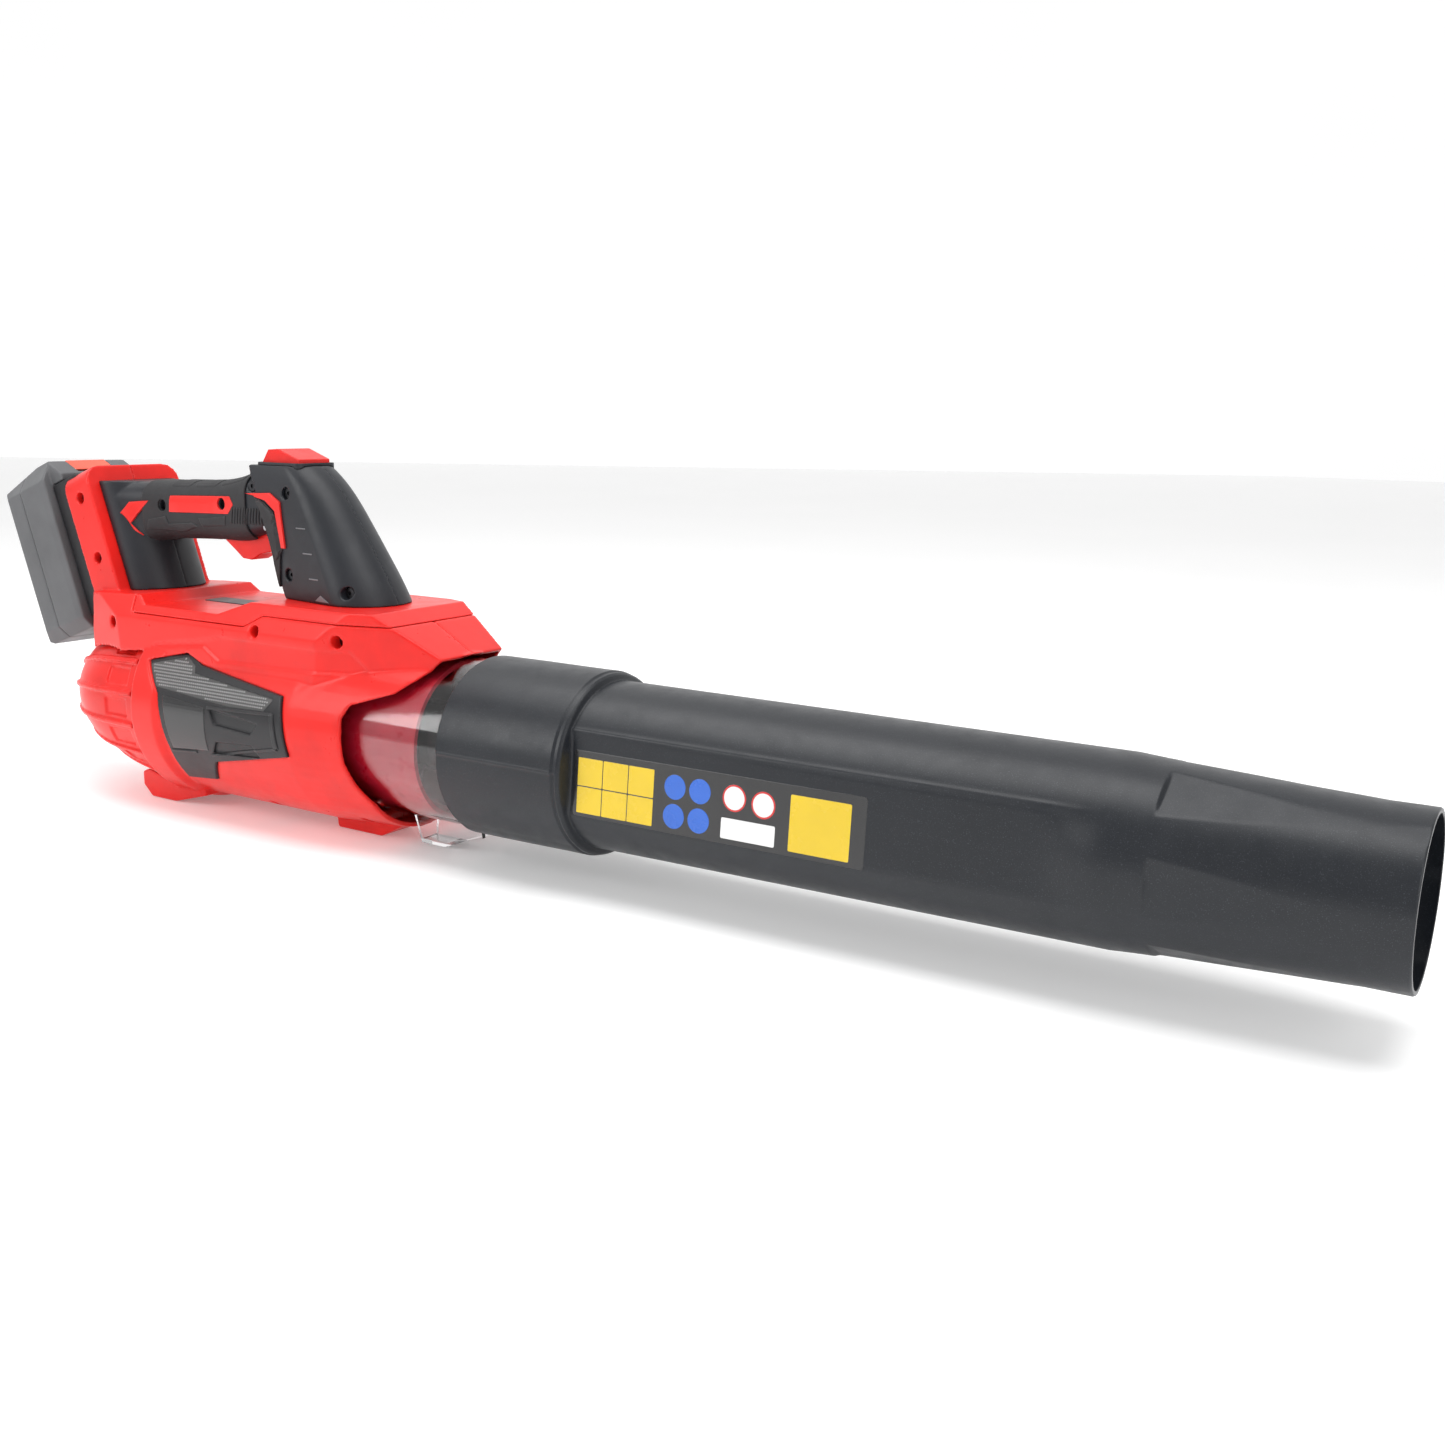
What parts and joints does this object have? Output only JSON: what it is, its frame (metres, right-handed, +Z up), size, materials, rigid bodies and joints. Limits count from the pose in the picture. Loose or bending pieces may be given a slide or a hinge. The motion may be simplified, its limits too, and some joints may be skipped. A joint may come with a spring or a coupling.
{
  "type": "leaf blower",
  "caption": "Cordless axial leaf blower with a looped top handle, slide-on battery, clear outlet duct and pull-off tube.",
  "frame": {"origin": "on the ground under the middle of the bounding box, with the blower standing on its feet", "axes": "+X forward along the air path to the nozzle, +Y to the left, +Z up"},
  "size_m": [0.9078, 0.127, 0.231],
  "materials": {
    "red_shell": "semi-gloss moulded",
    "red_trim": "semi-gloss moulded",
    "red_shroud": "semi-gloss moulded",
    "black_handle": "satin",
    "black_rubber": "matte",
    "black_panel": "satin",
    "silver_mesh": "dotted",
    "black_tube": "satin",
    "label_film": "gloss film",
    "clear_duct": "clear polycarbonate",
    "black_dock": "satin",
    "grey_case": "satin",
    "latch_red": "satin",
    "grey_fan": "satin",
    "steel": "zinc plated",
    "dark_steel": "ground",
    "alloy": "satin",
    "copper": "enamelled",
    "cell_blue": "heat-shrink sleeve",
    "holder_black": "matte",
    "board_green": "lacquered",
    "lead_sleeve": "silicone"
  },
  "bodies": {
    "frame": {"battery_dock": "black_dock", "bearing_front": "steel", "bearing_rear": "steel", "button_bezel": "black_handle", "button_spring": "steel", "contact_blades": "copper", "contact_block": "black_dock", "controller_board": "board_green", "fan_shroud": "red_shroud", "frame_screws": "steel", "grip_rubber_left": "black_rubber", "grip_rubber_right": "black_rubber", "handle_inlays": "red_trim", "handle_left": "black_handle", "handle_right": "black_handle", "handle_screws": "steel", "heat_sink": "alloy", "housing_left": "red_shell", "housing_right": "red_shell", "housing_screws": "steel", "intake_grille": "red_shell", "motor_can": "steel", "motor_cap_front": "alloy", "motor_cap_rear": "alloy", "motor_coils": "copper", "motor_leads": "lead_sleeve", "outlet_duct": "clear_duct", "power_leads": "lead_sleeve", "side_mesh_left": "silver_mesh", "side_mesh_right": "silver_mesh", "side_panel_left": "black_panel", "side_panel_right": "black_panel", "stator": "grey_fan", "status_plate": "black_panel", "switch_lead": "lead_sleeve", "top_cover": "red_shell", "trigger_pin": "steel", "trigger_spring": "steel", "trigger_switch": "holder_black"},
    "rotor": {"motor_shaft": "steel", "rotor_magnet": "dark_steel", "impeller": "grey_fan", "nose_cone": "grey_fan", "impeller_nut": "steel"},
    "trigger": {"trigger": "red_trim"},
    "button": {"boost_button": "red_trim"},
    "battery": {"battery_case_front": "grey_case", "battery_case_rear": "grey_case", "battery_cells": "cell_blue", "cell_holder": "holder_black", "battery_board": "board_green", "battery_terminals": "copper", "battery_screws": "steel"},
    "latch": {"battery_latch": "latch_red"},
    "tube": {"blower_tube": "black_tube", "tube_label": "label_film"}
  },
  "joints": [
    {"name": "fan_spin", "type": "hinge", "parent": "frame", "child": "rotor", "pos_m": [-0.11, 0, 0.066], "axis": [1, 0, 0], "continuous": true},
    {"name": "trigger_squeeze", "type": "hinge", "parent": "frame", "child": "trigger", "pos_m": [-0.213, 0, 0.183], "axis": [0, 1, 0], "range_deg": [0, 9], "stiffness_Nm_per_rad": 0.6, "springref_deg": -14.32, "deforming": ["trigger_spring"]},
    {"name": "button_press", "type": "slide", "parent": "frame", "child": "button", "axis": [0, 0, -1], "range_m": [0, 0.003], "stiffness_N_per_m": 400, "springref_m": -0.004, "deforming": ["button_spring"]},
    {"name": "battery_slide", "type": "slide", "parent": "frame", "child": "battery", "axis": [-0.342, 0, 0.9397], "range_m": [0, 0.1]},
    {"name": "latch_press", "type": "slide", "parent": "battery", "child": "latch", "axis": [-0.4226, 0, -0.9063], "range_m": [0, 0.002], "stiffness_N_per_m": 400, "springref_m": -0.003},
    {"name": "tube_slide", "type": "slide", "parent": "frame", "child": "tube", "axis": [1, 0, 0], "range_m": [0, 0.08]}
  ]
}
